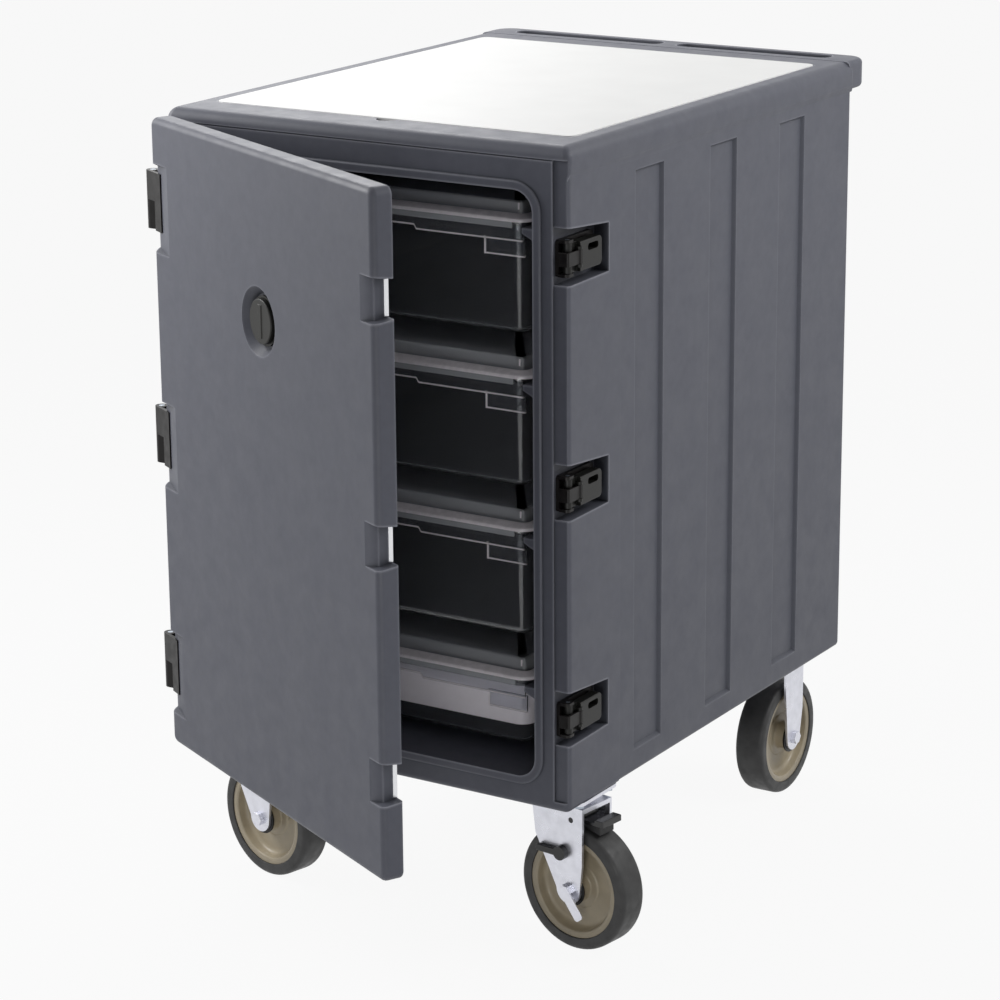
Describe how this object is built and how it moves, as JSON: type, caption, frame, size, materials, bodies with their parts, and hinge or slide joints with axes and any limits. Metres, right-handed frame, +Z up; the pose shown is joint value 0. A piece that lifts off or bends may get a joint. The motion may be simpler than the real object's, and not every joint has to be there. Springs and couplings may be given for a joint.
{
  "type": "food storage cart",
  "caption": "Insulated food storage cart with a side-hinged door on draw latches, lidded clear boxes on moulded rails, a cutting board in its top, a rear push handle and casters.",
  "frame": {"origin": "middle of the cabinet's footprint, on the floor under it", "axes": "+Z up, -Y out of the door's opening, +X towards the side with the latches"},
  "size_m": [0.714, 1.1721, 1.119],
  "materials": {
    "grey_polyethylene": "matte moulded, faint orange peel",
    "foam_core": "matte rigid closed-cell foam",
    "black_nylon": "satin moulded",
    "steel_pin": "satin turned",
    "screw_steel": "satin zinc plated",
    "keeper_steel": "polished stainless",
    "zinc_steel": "satin zinc plated",
    "white_board": "matte",
    "clear_box": "gloss clear",
    "clear_lid": "gloss clear",
    "seal_rubber": "matte",
    "vent_plastic": "satin moulded",
    "wheel_core": "satin moulded",
    "tyre_rubber": "matte",
    "brake_plastic": "satin moulded"
  },
  "bodies": {
    "cabinet": {"cabinet_shell": "grey_polyethylene", "cabinet_foam": "foam_core", "box_rails": "grey_polyethylene", "cabinet_hinge_leaves": "black_nylon", "hinge_pins": "steel_pin", "cabinet_screws": "screw_steel", "latch_bases": "black_nylon", "latch_pivot_pins": "steel_pin", "caster_backing_plates": "zinc_steel", "front_caster_plates": "zinc_steel", "swivel_races": "zinc_steel", "kingpins": "steel_pin", "caster_bolts": "screw_steel", "rear_left_fork": "zinc_steel", "rear_left_axle": "zinc_steel", "rear_right_fork": "zinc_steel", "rear_right_axle": "zinc_steel"},
    "door": {"door_shell": "grey_polyethylene", "door_foam": "foam_core", "door_gasket": "seal_rubber", "door_hinge_leaves": "black_nylon", "door_screws": "screw_steel", "latch_keepers": "keeper_steel", "vent_seat": "vent_plastic"},
    "vent_cap": {"vent_cap": "vent_plastic"},
    "cutting_board": {"cutting_board": "white_board"},
    "food_box_1": {"food_box_1": "clear_box"},
    "box_lid_1": {"box_lid_1": "clear_lid"},
    "food_box_2": {"food_box_2": "clear_box"},
    "box_lid_2": {"box_lid_2": "clear_lid"},
    "food_box_3": {"food_box_3": "clear_box"},
    "box_lid_3": {"box_lid_3": "clear_lid"},
    "food_box_4": {"food_box_4": "clear_box"},
    "box_lid_4": {"box_lid_4": "clear_lid"},
    "latch_lever_top": {"latch_lever_top": "black_nylon"},
    "latch_hook_top": {"latch_hook_top": "black_nylon"},
    "latch_lever_middle": {"latch_lever_middle": "black_nylon"},
    "latch_hook_middle": {"latch_hook_middle": "black_nylon"},
    "latch_lever_bottom": {"latch_lever_bottom": "black_nylon"},
    "latch_hook_bottom": {"latch_hook_bottom": "black_nylon"},
    "front_left_swivel": {"front_left_fork": "zinc_steel", "front_left_axle": "zinc_steel"},
    "front_left_wheel": {"front_left_wheel": "wheel_core", "front_left_tyre": "tyre_rubber", "front_left_bearing": "black_nylon"},
    "front_right_swivel": {"front_right_fork": "zinc_steel", "front_right_axle": "zinc_steel"},
    "front_right_wheel": {"front_right_wheel": "wheel_core", "front_right_tyre": "tyre_rubber", "front_right_bearing": "black_nylon"},
    "rear_left_wheel": {"rear_left_wheel": "wheel_core", "rear_left_tyre": "tyre_rubber", "rear_left_bearing": "black_nylon"},
    "rear_right_wheel": {"rear_right_wheel": "wheel_core", "rear_right_tyre": "tyre_rubber", "rear_right_bearing": "black_nylon"},
    "brake_pedal": {"front_right_brake_pedal": "zinc_steel", "front_right_brake_shoe": "seal_rubber"},
    "brake_cam": {"front_right_brake_cam": "brake_plastic"}
  },
  "joints": [
    {"name": "door_hinge", "type": "hinge", "parent": "cabinet", "child": "door", "pos_m": [-0.329, -0.421, 0.664], "axis": [0, 0, -1], "range_deg": [-26.7, 223.3]},
    {"name": "vent_turn", "type": "hinge", "parent": "door", "child": "vent_cap", "pos_m": [-0.04003, -0.58313, 0.889], "axis": [-0.4493, -0.8934, 0], "range_deg": [-90, 90]},
    {"name": "board_lift", "type": "slide", "parent": "cabinet", "child": "cutting_board", "axis": [0, 0, 1], "range_m": [0, 0.03]},
    {"name": "box_1_slide", "type": "slide", "parent": "cabinet", "child": "food_box_1", "axis": [0, -1, 0], "range_m": [0, 0.024]},
    {"name": "lid_1_lift", "type": "slide", "parent": "food_box_1", "child": "box_lid_1", "axis": [0, 0, 1], "range_m": [0, 0.02]},
    {"name": "box_2_slide", "type": "slide", "parent": "cabinet", "child": "food_box_2", "axis": [0, -1, 0], "range_m": [0, 0.024]},
    {"name": "lid_2_lift", "type": "slide", "parent": "food_box_2", "child": "box_lid_2", "axis": [0, 0, 1], "range_m": [0, 0.02]},
    {"name": "box_3_slide", "type": "slide", "parent": "cabinet", "child": "food_box_3", "axis": [0, -1, 0], "range_m": [0, 0.024]},
    {"name": "lid_3_lift", "type": "slide", "parent": "food_box_3", "child": "box_lid_3", "axis": [0, 0, 1], "range_m": [0, 0.02]},
    {"name": "box_4_slide", "type": "slide", "parent": "cabinet", "child": "food_box_4", "axis": [0, -1, 0], "range_m": [0, 0.024]},
    {"name": "lid_4_lift", "type": "slide", "parent": "food_box_4", "child": "box_lid_4", "axis": [0, 0, 1], "range_m": [0, 0.02]},
    {"name": "latch_top_lever", "type": "hinge", "parent": "cabinet", "child": "latch_lever_top", "pos_m": [0.305, -0.389, 0.973], "axis": [0, 0, -1], "range_deg": [0, 100]},
    {"name": "latch_top_hook", "type": "hinge", "parent": "latch_lever_top", "child": "latch_hook_top", "pos_m": [0.31325, -0.373, 0.973], "axis": [0, 0, 1], "range_deg": [0, 100]},
    {"name": "latch_middle_lever", "type": "hinge", "parent": "cabinet", "child": "latch_lever_middle", "pos_m": [0.305, -0.389, 0.6625], "axis": [0, 0, -1], "range_deg": [0, 100]},
    {"name": "latch_middle_hook", "type": "hinge", "parent": "latch_lever_middle", "child": "latch_hook_middle", "pos_m": [0.31325, -0.373, 0.6625], "axis": [0, 0, 1], "range_deg": [0, 100]},
    {"name": "latch_bottom_lever", "type": "hinge", "parent": "cabinet", "child": "latch_lever_bottom", "pos_m": [0.305, -0.389, 0.352], "axis": [0, 0, -1], "range_deg": [0, 100]},
    {"name": "latch_bottom_hook", "type": "hinge", "parent": "latch_lever_bottom", "child": "latch_hook_bottom", "pos_m": [0.31325, -0.373, 0.352], "axis": [0, 0, 1], "range_deg": [0, 100]},
    {"name": "front_left_swivel", "type": "hinge", "parent": "cabinet", "child": "front_left_swivel", "pos_m": [-0.255, -0.315, 0.2], "axis": [0, 0, 1], "continuous": true},
    {"name": "front_left_roll", "type": "hinge", "parent": "front_left_swivel", "child": "front_left_wheel", "pos_m": [-0.22492, -0.3225, 0.089], "axis": [0.2419, 0.9703, 0], "continuous": true},
    {"name": "front_right_swivel", "type": "hinge", "parent": "cabinet", "child": "front_right_swivel", "pos_m": [0.255, -0.315, 0.2], "axis": [0, 0, 1], "continuous": true},
    {"name": "front_right_roll", "type": "hinge", "parent": "front_right_swivel", "child": "front_right_wheel", "pos_m": [0.2857, -0.31931, 0.089], "axis": [0.1392, 0.9903, 0], "continuous": true},
    {"name": "rear_left_roll", "type": "hinge", "parent": "cabinet", "child": "rear_left_wheel", "pos_m": [-0.241, 0.335, 0.089], "axis": [1, 0, 0], "continuous": true},
    {"name": "rear_right_roll", "type": "hinge", "parent": "cabinet", "child": "rear_right_wheel", "pos_m": [0.241, 0.335, 0.089], "axis": [1, 0, 0], "continuous": true},
    {"name": "brake_pedal_press", "type": "hinge", "parent": "front_right_swivel", "child": "brake_pedal", "pos_m": [0.29065, -0.32001, 0.192], "axis": [0.1392, 0.9903, 0], "range_deg": [0, 6]},
    {"name": "brake_cam_turn", "type": "hinge", "parent": "front_right_swivel", "child": "brake_cam", "pos_m": [0.27679, -0.31806, 0.143], "axis": [0.1392, 0.9903, 0], "range_deg": [0, 40]}
  ],
  "couplings": [
    {"joint": "latch_top_hook", "follows": "latch_top_lever", "ratio": 1},
    {"joint": "latch_middle_hook", "follows": "latch_middle_lever", "ratio": 1},
    {"joint": "latch_bottom_hook", "follows": "latch_bottom_lever", "ratio": 1}
  ]
}
